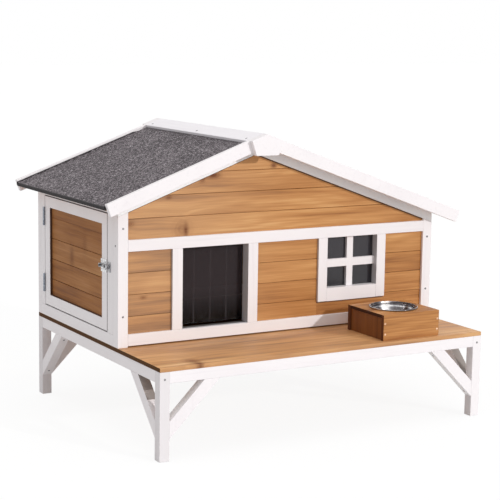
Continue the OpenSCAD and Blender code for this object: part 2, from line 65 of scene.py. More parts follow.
class Value:  # a shader socket that can stand in a sum
    def __init__(self, shading, socket):
        self.shading = shading
        self.socket = socket

    def math(self, operation, other=0.0, flipped=False):
        pair = (other, self) if flipped else (self, other)
        return self.shading.node("ShaderNodeMath", {"operation": operation}, dict(enumerate(pair)))

    def __add__(self, other):
        return self.math("ADD", other)

    def __sub__(self, other):
        return self.math("SUBTRACT", other)

    def __rsub__(self, other):
        return self.math("SUBTRACT", other, flipped=True)

    def __mul__(self, other):
        return self.math("MULTIPLY", other)

    def __truediv__(self, other):
        return self.math("DIVIDE", other)

    def __gt__(self, other):
        return self.math("GREATER_THAN", other)

    def __lt__(self, other):
        return self.math("LESS_THAN", other)

    def __abs__(self):
        return self.math("ABSOLUTE")

    __radd__ = __add__
    __rmul__ = __mul__

    def dot(self, direction):  # the length of a place along a direction
        return self.shading.node("ShaderNodeVectorMath", {"operation": "DOT_PRODUCT"},
                                 {0: self, 1: direction}, out="Value")

    def between(self, low, high, most=1.0):  # 0 at low and most at high, smooth at both ends
        return self.shading.node("ShaderNodeMapRange", {"interpolation_type": "SMOOTHSTEP"},
                                 {"Value": self, "From Min": low, "From Max": high, "To Max": most})

    def swing(self, amount):  # a noise, centred and scaled
        return (self - 0.5) * amount

    def decay(self):  # 1 at 0, and less and less above it
        return (self * -1.0).math("EXPONENT")


class Shading:  # a node tree that is put together in expressions
    def __init__(self, tree):
        self.tree = tree

    def feed(self, socket, value):
        if isinstance(value, Value):
            self.tree.links.new(value.socket, socket)
        else:
            socket.default_value = value

    def node(self, kind, settings=None, sockets=None, out=0):
        made = self.tree.nodes.new(kind)
        for name, value in (settings or {}).items():
            if name == "stops":
                self.setStops(made.color_ramp.elements, value)
            else:
                setattr(made, name, value)
        for key, value in (sockets or {}).items():
            self.feed(made.inputs[key], value)
        return Value(self, made.outputs[out])

    def setStops(self, elements, stops):
        while len(elements) < len(stops):
            elements.new(1.0)
        for element, (place, colour) in zip(elements, stops):
            element.position = place
            element.color = colour

    def noise(self, place, scale, detail=2.0, roughness=0.5):
        return self.node("ShaderNodeTexNoise", None, {"Vector": place, "Scale": scale,
                                                      "Detail": detail, "Roughness": roughness})

    def noiseAt(self, x, y, z, detail=2.0, roughness=0.5):
        place = self.node("ShaderNodeCombineXYZ", None, {0: x, 1: y, 2: z})
        return self.noise(place, 1.0, detail, roughness)

    def mix(self, factor, first, second, blend="MIX"):
        return self.node("ShaderNodeMix", {"data_type": "RGBA", "blend_type": blend},
                         {0: factor, 6: first, 7: second}, out=2)

    def ramp(self, value, stops):
        return self.node("ShaderNodeValToRGB", {"stops": stops}, {"Fac": value})

    def bump(self, height, depth, strength):
        return self.node("ShaderNodeBump", None,
                         {"Height": height, "Distance": depth, "Strength": strength})


class Finish(Shading):  # a material round one principled shader
    def __init__(self, name, **constants):
        self.material = bpy.data.materials.new(name)
        self.material.use_nodes = True
        super().__init__(self.material.node_tree)
        self.shader = self.tree.nodes["Principled BSDF"]
        self.wear(**constants)

    def wear(self, **sockets):  # feeds the shader and gives the material
        for socket, value in sockets.items():
            self.feed(self.shader.inputs[socket.replace("_", " ")], value)
        return self.material

    def place(self):  # where a point is on the object, in metres
        return self.node("ShaderNodeTexCoord", out="Object")

    def grainPlace(self, grain, across):  # a place, and where along, across and into the grain
        into = Vector(grain).cross(Vector(across)).normalized()
        place = self.place()
        return place, place.dot(grain), place.dot(across), place.dot(into)

    def look(self, direction):  # the cosine between a face's normal and a direction
        return self.node("ShaderNodeNewGeometry", out="True Normal").dot(direction)

    def stored(self, name):  # a number kept on the mesh's faces
        return self.node("ShaderNodeAttribute", {"attribute_name": name}, out="Fac")


# White paint on planed battens: the grain shows faintly through it. A noise is its cycles per
# metre along and across the grain, its detail and its roughness, and it shows from one height
# to another, by so much. A bump is its depth and its strength.
paint = {
    "colour": shade(241, 236, 237),
    "streak": shade(229, 223, 225),
    # painted shade: grey for the side faces of the door and window openings
    "jambShade": shade(188, 184, 186),
    # painted shade on the rear of the doorway sill's top, and how far back it starts
    "sill": shade(112, 106, 104),
    "sillDepth": 14 * mm,
    # painted shade on the side braces' inner faces, reaching deeper on the right
    "braceShade": shade(158, 149, 144),
    "braceShadeDepth": 80 * mm,
    "braceShadeLean": 0.036,
    # painted light for the long braces' edge faces
    "edgeLight": shade(255, 253, 253),
    # painted light for the right legs' front and back faces
    "legLight": shade(252, 247, 248),
    # painted shade round the side door: on its frame's inner faces by the panel, and in the gap round
    # it
    "rebateDepth": 6.5 * mm,
    "rebateEdge": 0.3 * mm,
    "gap": shade(104, 96, 96),
    "gapEdge": 0.8 * mm,
    "gapDark": 2 * mm,
    "gapFaded": 10 * mm,
    "roughness": 0.5,
    "streakRoughness": 0.2,
    "streaks": (3, 95, 3, 0.55),
    "streaksShow": (0.52, 0.8, 0.5),
    "clouds": (2.5, 9, 2, 0.5),
    "cloudsShow": (0.4, 0.75, 0.3),
    "fibres": (24, 700, 2, 0.5),
    "fibreShare": 0.3,
    "bump": (0.25 * mm, 0.5),
}


def outsideOf(place, box):  # how far outside a box on a side wall
    middle, half = (box[0] + box[1]) / 2, (box[1] - box[0]) / 2
    level = abs(place.dot(axisY) - middle.y) - half.y
    return level.math("MAXIMUM", abs(place.dot(axisZ) - middle.z) - half.z)


def doorShade(finish, place, colour, frameBox, panelBox):  # painted shade along the door's inner and outer edges
    behind = place.dot(axisX) > panelBox[0].x - paint["rebateDepth"]
    inside = outsideOf(place, panelBox) < paint["rebateEdge"]
    colour = finish.mix(inside * behind, colour, fir["shadow"])  # painted shade on the frame's inner faces round its panel
    depthIn = place.dot(axisX) - frameBox[0].x
    gapShade = depthIn.between(paint["gapFaded"], paint["gapDark"])
    gapShade = (outsideOf(place, frameBox) > -paint["gapEdge"]) * gapShade
    return finish.mix(gapShade, colour, paint["gap"])  # painted shade in the gap round it


def whitePaint(name, grain, across, fold=None, lightAndShade=None, door=None, paintedBrightness=None, edge=None):
    finish = Finish(name)
    place, along, side, depth = finish.grainPlace(grain, across)
    if fold:  # both slopes of a pair share one finish
        axis, middle, rate = fold
        along = along + abs(place.dot(axis) - middle) * rate

    def grainNoise(kind):
        perAlong, perAcross, *texture = paint[kind]
        return finish.noiseAt(along * perAlong, side * perAcross, depth * perAcross, *texture)

    streak, cloud, fibre = (grainNoise(kind) for kind in ("streaks", "clouds", "fibres"))
    shown = streak.between(*paint["streaksShow"]) + cloud.between(*paint["cloudsShow"])
    colour = finish.mix(shown, paint["colour"], paint["streak"])
    if lightAndShade:  # painted light and shade: another tone on faces of one kind, past a place
        direction, past, limit, other = lightAndShade
        marked = (abs(finish.look(direction)) > facing) * (place.dot(past) > limit)
        colour = finish.mix(marked, colour, other)
    # painted shade round the side door's panel and in its gap
    if door:
        colour = doorShade(finish, place, colour, *door)
    if edge:  # painted light: the edge faces of a batten that lies in one plane, whiter to lift their shade
        colour = finish.mix(abs(finish.look(across)) < leaning, colour, edge)
    if paintedBrightness:  # painted light and shade: the whole piece made whiter, past the whitest paint, to lift its shade, and the legs greyer to dim their light
        colour = finish.mix(1.0, colour, (*paintedBrightness, 1.0), "MULTIPLY")
    height = streak * (1 - paint["fibreShare"]) + fibre * paint["fibreShare"]
    return finish.wear(
        Base_Color=colour,
        Roughness=paint["roughness"] + streak.swing(paint["streakRoughness"]),
        Normal=finish.bump(height, *paint["bump"]))


# Stained fir boards. A knot is its place along and across the grain, how far it reaches along
# and across, and its darkness. A noise is its cycles per metre along and across the grain, how
# far a board's own number slides it along and across, its detail and its roughness.
fir = {
    "tones": [(0.0, shade(78, 42, 18)), (0.22, shade(140, 88, 44)), (0.42, shade(178, 120, 64)),
              (0.62, shade(199, 142, 84)), (0.82, shade(218, 168, 110)), (1.0, shade(232, 190, 140))],
    "middle": 0.53,
    "knot": shade(106, 52, 12),
    "knotDark": (0.75, 0.5),  # least, and more along the threads
    "knotRings": 13,
    "knotEdge": (90, 0.7, 0.8),  # how ragged: cycles per metre, least and more
    "bendReach": 0.3,
    # painted shade: the shadow tone darkens boards under the roof's edge and the door frame's inner
    # faces, the rim tone a panel's recess and the boards under the window sill
    "shadow": shade(74, 44, 26),
    "rim": shade(104, 76, 58),
    "rimDark": 0.36,
    "shadowLine": 4.5 * mm,
    "shadowLineDark": 0.6,
    "pale": shade(222, 192, 158),
    "paling": 0.22,
    "roughness": 0.5,
    "threadRoughness": 0.3,
    "gloss": 0.32,
    "sawnRoughness": 0.45,
    "sawnSkin": 0.4 * mm,
    "bump": (0.14 * mm, 0.6),
    "ringsPerMetre": 38,
    "ringWarp": 11,
    "ringsShow": (0.42, 0.66),
    "weights": {"cloud": 0.75, "streak": 0.6, "ring": 0.045, "thread": 0.42, "fibre": 0.12,
                "swirl": 0.16},
    "boardShift": 11,
    "boardTint": 0.07,
    "cloud": (2.6, 17, 1, 3, 2, 0.5),
    "warp": (1.3, 6, -1, 1, 2, 0.5),
    "streak": (3.4, 62, 5, 0, 3, 0.55),
    "thread": (5, 230, -2, 0, 2, 0.6),
    "fibre": (18, 620, 1, 0, 2, 0.5),
}


def knotsIn(finish, knots, along, side, seed, bend):
    dark = 0.0
    swirl = 0.0
    bent = side  # the grain flows round the knots
    rate, least, more = fir["knotEdge"]
    for s, t, reach, height, strength in knots:
        sideways = (along - s) / reach
        upward = (side - t) / height
        near = sideways * sideways + upward * upward
        bent = bent + (near * fir["bendReach"]).decay() * upward * (height * bend)
        ragged = near * (least + finish.noiseAt(along * rate, side * rate, seed, 1) * more)
        falloff = ragged.decay() * strength
        dark = falloff + dark
        swirl = (ragged.math("SQRT") * fir["knotRings"]).math("SINE") * falloff + swirl
    return dark, swirl, bent


def sawnEnds(box, colour):  # where a board's two sawn ends are, and their colour
    return box[0].x + fir["sawnSkin"], box[1].x - fir["sawnSkin"], colour


def stainedFir(name, grain, across, knots=(), seed=0.0, contrast=1.0, lift=0.0, bend=0.3, staves=None,
               gloss=fir["gloss"], wash=0.0, darkening=None, paling=None, eaves=None, rimShade=None,
               endFaces=None, inner=None):
    finish = Finish(name, Specular_IOR_Level=gloss)
    place, along, side, depth = finish.grainPlace(grain, across)
    board = finish.stored("board")
    tint = finish.stored("tint")
    if staves:  # glued boards in one panel, told apart by place
        board = finish.node("ShaderNodeTexWhiteNoise", {"noise_dimensions": "1D"},
                            {"W": (side / staves).math("FLOOR")}, out="Value")
        tint = (board * 2 - 1) * fir["boardTint"]
    shift = board * fir["boardShift"] + seed
    dark, swirl, bent = knotsIn(finish, knots, along, side, seed, bend)

    def grainNoise(kind, sideways):
        perAlong, perAcross, slideAlong, slideAcross, *texture = fir[kind]
        return finish.noiseAt(along * perAlong + shift * slideAlong,
                              sideways * perAcross + shift * slideAcross,
                              depth * perAcross, *texture)

    cloud, warp, streak, thread = (grainNoise(kind, bent)
                                   for kind in ("cloud", "warp", "streak", "thread"))
    fibre = grainNoise("fibre", side)
    rings = bent * fir["ringsPerMetre"] + warp * fir["ringWarp"] + shift
    ring = (rings * math.tau).math("SINE") * cloud.between(*fir["ringsShow"])
    weight = fir["weights"]
    broad = cloud.swing(weight["cloud"]) + streak.swing(weight["streak"]) + ring * weight["ring"]
    fine = thread.swing(weight["thread"]) + fibre.swing(weight["fibre"]) + swirl * weight["swirl"]
    colour = finish.ramp(fir["middle"] + lift + tint + broad * contrast + fine, fir["tones"])
    if paling:  # fades towards the sunny end of the wall
        colour = finish.mix(along.between(*paling) * fir["paling"], colour, fir["pale"])
    if wash:  # paler all over
        colour = finish.mix(wash, colour, fir["pale"])
    if knots:
        least, more = fir["knotDark"]
        dark = (dark * (least + thread * more)).math("MINIMUM", 1.0)
        colour = finish.mix(dark, colour, fir["knot"])
    if eaves:  # painted shadow: a dark line on the boards under both slopes of the roof, cast by the roof's edge
        peakX, peakZ, slope = eaves
        drop = peakZ - abs(along - peakX) * slope - side
        shadowLine = drop.between(fir["shadowLine"], fir["shadowLine"] * fir["shadowLineDark"])
        colour = finish.mix(shadowLine, colour, fir["shadow"])
    if rimShade:  # painted shade: a dark line along the sides of a panel, in its recess and under a sill
        (lowAlong, lowSide), (highAlong, highSide), reach = rimShade
        inside = (along - lowAlong).math("MINIMUM", highAlong - along)
        inside = inside.math("MINIMUM", side - lowSide).math("MINIMUM", highSide - side)
        colour = finish.mix(inside.between(reach, reach * fir["rimDark"]), colour, fir["rim"])
    if darkening:  # the same wood, darker all over
        colour = finish.mix(1.0, colour, darkening, "MULTIPLY")
    roughness = fir["roughness"] + thread.swing(fir["threadRoughness"])
    if endFaces:  # sawn ends are rough and drink more stain
        low, high, endColour = endFaces
        ends = ((along < low) + (along > high)).math("MINIMUM", 1.0)
        colour = finish.mix(ends, colour, endColour)
        roughness = roughness + ends * fir["sawnRoughness"]
        if inner:  # painted shade: the rear board's face beside a recessed side is as dark as the sawn ends
            rearShade = (finish.look((0, -1, 0)) > facing) * (place.dot(axisY) > inner)
            colour = finish.mix(rearShade, colour, endColour)
    return finish.wear(
        Base_Color=colour,
        Roughness=roughness,
        Normal=finish.bump(streak + thread + fibre, *fir["bump"]))


# Mineral roofing felt: dark sheet with light and dark chips of slate
felt = {
    "dark": shade(28, 25, 27),
    "middle": shade(69, 60, 65),
    "light": shade(168, 160, 164),
    "edge": shade(30, 25, 27),
    "chipsPerMetre": 620,
    "gritPerMetre": 270,
    "clumpsPerMetre": 150,
    "cloudsPerMetre": 9,
    "weights": {"chip": 0.7, "grit": 1.4, "clump": 0.7, "cloud": 0.25},
    "ragged": {"grit": 0.5, "clump": 1.0, "from": 0.4, "to": 0.6},
    "roughness": 0.82,
    "chipRoughness": 0.2,
    "chipShare": 0.5,
    "bump": (0.9 * mm, 0.8),
}


def mineralFelt(name):
    finish = Finish(name)
    place = finish.place()

    def cells(rate, weights):  # a number of its own for each chip
        return finish.node("ShaderNodeTexVoronoi", None, {"Vector": place, "Scale": rate},
                           out="Color").dot(weights)

    chip = cells(felt["chipsPerMetre"], (0.4, 0.3, 0.3))
    grit = cells(felt["gritPerMetre"], (0.5, 0.25, 0.25))
    clump = finish.noise(place, felt["clumpsPerMetre"], 3.0, 0.7)
    cloud = finish.noise(place, felt["cloudsPerMetre"])
    weight, ragged = felt["weights"], felt["ragged"]
    speckle = (0.5 + chip.swing(weight["chip"]) + grit.swing(weight["grit"])
               + clump.swing(weight["clump"]) + cloud.swing(weight["cloud"]))
    colour = finish.ramp(speckle, [(0.0, felt["dark"]), (0.5, felt["middle"]), (1.0, felt["light"])])
    edge = finish.stored("edge") + grit.swing(ragged["grit"]) + clump.swing(ragged["clump"])
    colour = finish.mix(edge.between(ragged["from"], ragged["to"]), colour, felt["edge"])
    return finish.wear(
        Base_Color=colour,
        Roughness=felt["roughness"] + chip.swing(felt["chipRoughness"]),
        Normal=finish.bump(chip * felt["chipShare"] + clump, *felt["bump"]))


# Zinc-plated steel of hinges, latch and screws: each is a bright and a dull tone
zinc = {
    "plate": [shade(236, 236, 236), shade(196, 196, 198)],
    "bolt": [shade(132, 132, 134), shade(66, 66, 70)],
    "keeper": [shade(188, 188, 190), shade(140, 140, 144)],
    "hinge": [shade(162, 167, 176), shade(118, 123, 133)],
    "screw": [shade(160, 158, 158), shade(92, 90, 92)],
    # painted reflection: the pegs' warm tone stands for the wood mirrored in them
    "peg": [shade(238, 208, 182), shade(206, 164, 130)],
}
zincGrain = {
    "spanglesPerMetre": 260,
    "spanglesShow": (0.35, 0.7),
    "roughness": 0.3,
    "spangleRoughness": 0.2,
    "hazePerMetre": 1400,
    "bump": (0.05 * mm, 0.4),
}


def zincPlate(name, bright, dull):
    finish = Finish(name, Metallic=1.0)
    place = finish.place()
    spangle = finish.noise(place, zincGrain["spanglesPerMetre"])
    haze = finish.noise(place, zincGrain["hazePerMetre"])
    return finish.wear(
        Base_Color=finish.mix(spangle.between(*zincGrain["spanglesShow"]), bright, dull),
        Roughness=zincGrain["roughness"] + spangle * zincGrain["spangleRoughness"],
        Normal=finish.bump(haze, *zincGrain["bump"]))


# Spun stainless steel: fine turning marks round the bowl's axis, and highlights painted into its
# colour in sectors. A highlight is its angle, its narrowness and its strength.
steel = {
    "tones": [(0.0, shade(104, 99, 100)), (0.35, shade(158, 156, 160)), (0.85, shade(255, 253, 252))],
    "roughness": 0.12,
    "turningRoughness": 0.08,
    "smearRoughness": 0.06,
    # painted highlights: bright sectors, a sparkle and a ring below the rim, all painted into the
    # steel's colour
    "highlights": [(190, 5.0, 0.55), (-28, 7.0, 0.35), (77, 34.0, 1.1)],
    "sparkle": (8, 6.0, 2.4),
    "ring": (13 * mm, 2.4 * mm, 0.6),
    "axisGap": 0.1 * mm,
    "turningsPerMetre": 2400,
    "turningShine": 0.5,
    "bump": (0.02 * mm, 0.5),
    "spotsPerMetre": 190,
    "smearsPerMetre": 30,
}


def spunSteel(name, middle, rimHeight):
    finish = Finish(name, Metallic=1.0)
    place = finish.place()
    reach = place.dot(axisX) - middle.x
    back = place.dot(axisY) - middle.y
    height = place.dot(axisZ)
    radius = (reach * reach + back * back).math("SQRT") + steel["axisGap"]
    rate = steel["turningsPerMetre"]
    turning = finish.noiseAt(radius * rate, height * rate, 0.0, 1)
    turningsAndHighlights = turning.swing(steel["turningShine"])

    def sector(angle, narrowness, strength):
        turn = math.radians(angle)
        along = (reach * math.cos(turn) + back * math.sin(turn)) / radius
        return ((1 - along) * narrowness).decay() * strength

    # painted highlights in sectors, and a painted sparkle in one of them
    for highlight in steel["highlights"]:
        turningsAndHighlights = turningsAndHighlights + sector(*highlight)
    spots = finish.noise(place, steel["spotsPerMetre"])
    turningsAndHighlights = turningsAndHighlights + (spots - 0.5) * sector(*steel["sparkle"])
    drop, reachDown, strength = steel["ring"]  # the light that runs round below the rim
    below = (height - (rimHeight - drop)) / reachDown
    turningsAndHighlights = turningsAndHighlights + (below * below).decay() * strength
    smear = finish.noise(place, steel["smearsPerMetre"])
    return finish.wear(
        Base_Color=finish.ramp(turningsAndHighlights, steel["tones"]),
        Roughness=(steel["roughness"] + turning * steel["turningRoughness"]
                   + smear * steel["smearRoughness"]),
        Normal=finish.bump(turning, *steel["bump"]))


# Clear plastics: a soft film in the doorway and a stiff sheet in the window. The tones are
# those of the darker foot and the lighter head, painted shade of the dark inside seen through
# them, and heights are where one turns to the other.
clear = {
    "film": {"tones": [shade(3, 1, 1), shade(54, 46, 48)], "heights": (0.305, 0.42),
             "alpha": 0.76, "gloss": 0.15, "roughness": 0.12, "bump": (1.5 * mm, 0.6)},
    "sheet": {"tones": [shade(48, 46, 50), shade(56, 53, 58)], "heights": (0.38, 0.52),
              "alpha": 0.86, "gloss": 0.5, "roughness": 0.08, "bump": (0.3 * mm, 0.6)},
    # painted highlight: a lighter tone along each film strip's rim
    "rim": shade(92, 86, 90),
    "rimShows": (0.34, 0.08),  # at the foot and at the head
    "rimSolid": 0.4,
    "smearsPerMetre": 22,
    "smearRoughness": 0.1,
    "smearAlpha": 0.06,
    "ripplesPerMetre": (14, 4),
}


def clearPlastic(kind):
    look = clear[kind]
    finish = Finish("clear_" + kind, Specular_IOR_Level=look["gloss"])
    place = finish.place()
    height = place.dot(axisZ)
    smear = finish.noise(place, clear["smearsPerMetre"])
    level, upright = clear["ripplesPerMetre"]
    ripple = finish.noiseAt(place.dot(axisX) * level, place.dot(axisY) * level,
                            height * upright, 1)
    rim = finish.stored("rim")
    # painted shade of the dark inside: darker towards the foot
    raised = height.between(*look["heights"])
    colour = finish.mix(raised, *look["tones"])
    foot, head = clear["rimShows"]
    solid = rim * ((1 - look["alpha"]) * clear["rimSolid"])
    # a painted highlight along a strip's rim
    return finish.wear(
        Base_Color=finish.mix(rim * (foot - raised * (foot - head)), colour, clear["rim"]),
        Roughness=look["roughness"] + smear * clear["smearRoughness"],
        Alpha=look["alpha"] + solid + smear.swing(clear["smearAlpha"]),
        Normal=finish.bump(ripple, *look["bump"]))


paintX = whitePaint("paint_level", axisX, axisZ)
paintY = whitePaint("paint_deep", axisY, axisZ)
paintZ = whitePaint("paint_upright", axisZ, axisX)
anywhere = -1  # metres: every place on the object is past it
# painted shade on the side faces of the openings' stiles and of the window's bars
paintJamb = whitePaint("paint_opening", axisZ, axisX, lightAndShade=(axisX, axisZ, anywhere, paint["jambShade"]))
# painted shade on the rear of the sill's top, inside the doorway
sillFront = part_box("front_bottom_rail")[0].y
paintSill = whitePaint("paint_sill", axisX, axisZ,
                       lightAndShade=(axisZ, axisY, sillFront + paint["sillDepth"], paint["sill"]))
paintDoor = whitePaint("paint_door", axisZ, axisX,
                       door=(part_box("side_door_frame"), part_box("side_door_boards")))
# the legs are painted greyer all over to dim their light, and the right legs' front and back faces
# whiter: painted shade and painted light
paintLegs = whitePaint("paint_legs", axisZ, axisX, paintedBrightness=(0.89, 0.89, 0.89),
                       lightAndShade=(axisY, axisX, 0, paint["legLight"]))
ridgeX = (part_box("barge_front_left")[1].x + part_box("barge_front_right")[0].x) / 2
slopes = [(0, 0, -math.sin(roofPitch)), (0, math.sin(roofPitch), math.cos(roofPitch)),
          (axisX, ridgeX, math.cos(roofPitch))]
paintRoof = whitePaint("paint_slope", *slopes)
# painted light: the rake made whiter than any paint to lift its shade, and the ridge caps a little
# whiter
paintRake = whitePaint("paint_rake", *slopes, paintedBrightness=(1.05, 1.11, 1.11))
paintCaps = whitePaint("paint_caps", axisY, axisZ, paintedBrightness=(1.02, 1.03, 1.05))
braceSlant = 0.7  # how much of a brace's length each axis counts
diagonal = math.sqrt(0.5)
# painted light on the long braces' edge faces
paintBraceX = whitePaint("paint_brace_long", (0, 0, braceSlant), axisY, (axisX, 0.0, braceSlant),
                         edge=paint["edgeLight"])
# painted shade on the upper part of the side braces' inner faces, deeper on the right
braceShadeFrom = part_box("braces_side")[1].z - paint["braceShadeDepth"]
paintBraceY = whitePaint("paint_brace_side", (0, 0, braceSlant), axisX, (axisY, 0.0, braceSlant),
                         lightAndShade=((0, -diagonal, diagonal), (paint["braceShadeLean"], 0, 1), braceShadeFrom,
                               paint["braceShade"]))
zincFinishes = {kind: zincPlate("zinc_" + kind, *tones) for kind, tones in zinc.items()}
filmFinish = clearPlastic("film")
sheetFinish = clearPlastic("sheet")
print("shared finishes made")


def loft(bm, rings):  # joins each ring to the next, and caps both ends
    rows = [[bm.verts.new(point) for point in ring] for ring in rings]
    bands = []
    for low, high in zip(rows, rows[1:]):
        band = []
        for i in range(len(low)):
            k = (i + 1) % len(low)
            band.append(bm.faces.new((low[i], low[k], high[k], high[i])))
        bands.append(band)
    bands[0].append(bm.faces.new(rows[0]))
    bands[-1].append(bm.faces.new(rows[-1]))
    return bands


def circle(steps):  # the cosine and sine of each step
    angles = [math.tau * i / steps for i in range(steps)]
    return [(math.cos(a), math.sin(a)) for a in angles]


def arc(middle, radius, degrees):  # points of an arc, where 90 degrees is up
    turns = [math.radians(turn) for turn in degrees]
    return [(middle[0] + radius * math.cos(a), middle[1] + radius * math.sin(a)) for a in turns]


def makePiece(name, bm, material, body, replaced, smooth):
    bmesh.ops.remove_doubles(bm, verts=bm.verts, dist=tiny)
    bmesh.ops.dissolve_degenerate(bm, dist=tiny / 10, edges=bm.edges)
    bmesh.ops.recalc_face_normals(bm, faces=bm.faces)
    mesh = bpy.data.meshes.new(name)
    bm.to_mesh(mesh)
    bm.free()
    mesh.materials.append(material)
    mesh.shade_smooth()
    mesh.set_sharp_from_angle(angle=math.radians(smooth))
    piece = bpy.data.objects.new(name, mesh)
    bpy.context.scene.collection.objects.link(piece)
    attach(piece, body)
    if replaced:
        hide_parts(*replaced)


softened = {"segments": 2, "angle": 25}  # edges sharper than so many degrees


def dress(node, material, edge):  # finish and softened edges for a CAD node
    piece = nodes[node]
    for slot in piece.material_slots:
        slot.material = material
    weld = piece.modifiers.new("weld", "WELD")
    weld.merge_threshold = weldGap
    bevel = piece.modifiers.new("edges", "BEVEL")
    bevel.width = edge
    bevel.segments = softened["segments"]
    bevel.limit_method = "ANGLE"
    bevel.angle_limit = math.radians(softened["angle"])
    bevel.harden_normals = True


def corners(node):
    points = np.empty(len(nodes[node].data.vertices) * 3)
    nodes[node].data.vertices.foreach_get("co", points)
    return points.reshape(-1, 3)


# White battens
batten = {
    "edge": 1.2 * mm,
    "finishes": (
        (paintX, ("aprons_long", "front_beam", "window_sill", "rear_rails", "strip_header")),
        (paintY, ("aprons_side", "side_rails")),
        (paintZ, ("post_front_left", "post_front_right", "posts_rear", "side_stiles")),
        (paintLegs, ("legs_front", "legs_rear")),
        (paintBraceX, ("braces_front", "braces_rear")),
        (paintBraceY, ("braces_side",)),
        (paintJamb, ("doorway_stiles", "window_stiles", "window_bars")),
        (paintSill, ("front_bottom_rail",)),
        (paintDoor, ("side_door_frame",)),
        (paintRake, ("rakes_front",)),
        (paintRoof, ("rakes_rear", "barge_front_left", "barge_front_right", "barges_rear",
                     "ridge_gussets")),
        (paintCaps, ("ridge_caps",)),
    ),
}
for finish, battens in batten["finishes"]:
    for node in battens:
        dress(node, finish, batten["edge"])
print("white battens dressed")


# Boards of the walls, with rounded shoulders at each seam. The profile is how far from a seam's
# middle and what share of its depth, and grooves is how wide those of the CAD model are.
seam = {
    "grooves": (1.5 * mm, 4.5 * mm),
    "reach": 3 * mm,
    "profile": ((1.3 * mm, 0), (0.806 * mm, 0.12), (0.675 * mm, 0.4), (0.45 * mm, 1)),
    "depth": 4.0 * mm,
    "tight": 0.3,
    "behind": 0.5,
    "smooth": 20,
}


def isSideWall(node):  # thin from left to right
    low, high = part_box(node)
    return high.x - low.x < high.y - low.y


def boardWall(name, node, body, material, tints, seed, tight=()):
    low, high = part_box(node)
    level, axis = (1, 0) if isSideWall(node) else (0, 1)  # along the wall, and through it
    sign = 1 if low[axis] + high[axis] > 0 else -1  # which way it faces
    face, back = (high[axis], low[axis]) if sign > 0 else (low[axis], high[axis])
    points = corners(node)
    heights = np.unique(points[:, 2].round(5))
    rows = [points[abs(points[:, 2] - h) < 2 * weldGap, level] for h in heights]
    peak = rows[-1].mean()  # a gable's sides meet above it
    starts = [(h, row.min()) for h, row in zip(heights, rows) if row.min() <= peak]
    ends = [(h, row.max()) for h, row in zip(heights, rows) if row.max() >= peak]
    narrowest, widest = seam["grooves"]
    seams = [(a + b) / 2 for a, b in zip(heights, heights[1:]) if narrowest < b - a < widest]
    profile = [(h, 0.0) for h in heights if all(abs(h - s) > seam["reach"] for s in seams)]
    for number, s in enumerate(seams):
        width = seam["tight"] if number in tight else 1.0
        for away, share in seam["profile"]:
            down = share * seam["depth"] * width
            profile += [(s - away * width, down), (s + away * width, down)]
    profile.sort()
    rings = []
    for height, down in profile:
        start, end = (np.interp(height, *zip(*side)) for side in (starts, ends))
        front, rear = face - sign * down, back + sign * down * seam["behind"]
        corner = [(start, front), (end, front), (end, rear), (start, rear)]
        rings.append([(x, y, height) if axis == 1 else (y, x, height) for x, y in corner])
    bm = bmesh.new()
    board = bm.faces.layers.float.new("board")
    tint = bm.faces.layers.float.new("tint")
    chance = random.Random(seed)
    count = len(seams) + 1
    numbers = [chance.random() for s in range(count)]
    most = fir["boardTint"]
    shades = list(tints) + [chance.uniform(-most, most) for s in range(count - len(tints))]
    for (height, down), band in zip(profile, loft(bm, rings)):
        place = sum(s <= height for s in seams)
        for one in band:
            one[board] = numbers[place]
            one[tint] = shades[place]
    makePiece(name, bm, material, body, (node,), seam["smooth"])


# Knots and board tones of each wall, read off the photograph as places on the wall
walls = {
    "gable_front": {"tints": [0.0, -0.07, -0.04, 0.0], "seed": 11, "eaves": True, "knots": [
        (-0.35, 0.596, 0.028, 0.03, 0.4), (-0.337, 0.592, 0.007, 0.022, 0.6),
        (-0.25, 0.75, 0.026, 0.011, 1.0), (-0.285, 0.744, 0.01, 0.014, 0.9),
        (-0.394, 0.691, 0.011, 0.006, 0.8), (-0.044, 0.771, 0.011, 0.008, 0.9),
        (-0.516, 0.621, 0.014, 0.01, 0.6)]},
    "front_left": {"tints": [-0.15, -0.2, -0.11, -0.17], "seed": 12, "knots": [
        (-0.474, 0.405, 0.011, 0.006, 0.6)]},
    "front_middle": {"tints": [-0.02, -0.06, 0.0, 0.0], "seed": 13, "contrast": 0.6},
    "under_window": {"tints": [-0.1, -0.08], "seed": 14, "sillShadow": 7 * mm},
    "front_right": {"tints": [-0.06, -0.02, -0.2, -0.03], "seed": 15},
    "rear": {"seed": 16, "knots": [
        (0.2, 0.36, 0.012, 0.009, 0.6), (-0.33, 0.47, 0.006, 0.013, 0.5)]},
    "gable_rear": {"seed": 17, "knots": [
        (-0.1, 0.66, 0.01, 0.008, 0.6), (0.12, 0.61, 0.006, 0.012, 0.5)]},
    "right": {"seed": 18, "knots": [
        (0.05, 0.45, 0.011, 0.008, 0.6), (0.22, 0.33, 0.006, 0.012, 0.5)]},
}
farAway = 1.0  # metres, so that no other edge of a board counts
sunnyEnd = (0.1, -0.45)  # from where to where long boards fade
for wall, settings in walls.items():
    node = "boards_" + wall
    low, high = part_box(node)
    side = isSideWall(node)
    # where the roof's edge casts a painted shadow on the gable's boards
    underRoof = (ridgeX, high.z, math.tan(roofPitch))
    shaded = None  # painted shadow of the window sill, only along the board's upper edge
    if "sillShadow" in settings:
        shaded = ((low.x - farAway, low.z - farAway), (high.x + farAway, high.z),
                  settings["sillShadow"])
    finish = stainedFir(f"planks_{wall}_fir", axisY if side else axisX, axisZ,
                        settings.get("knots", ()), settings["seed"],
                        contrast=settings.get("contrast", 1.0), paling=None if side else sunnyEnd,
                        eaves=underRoof if settings.get("eaves") else None, rimShade=shaded)
    boardWall("planks_" + wall, node, "house", finish, settings.get("tints", ()), settings["seed"])

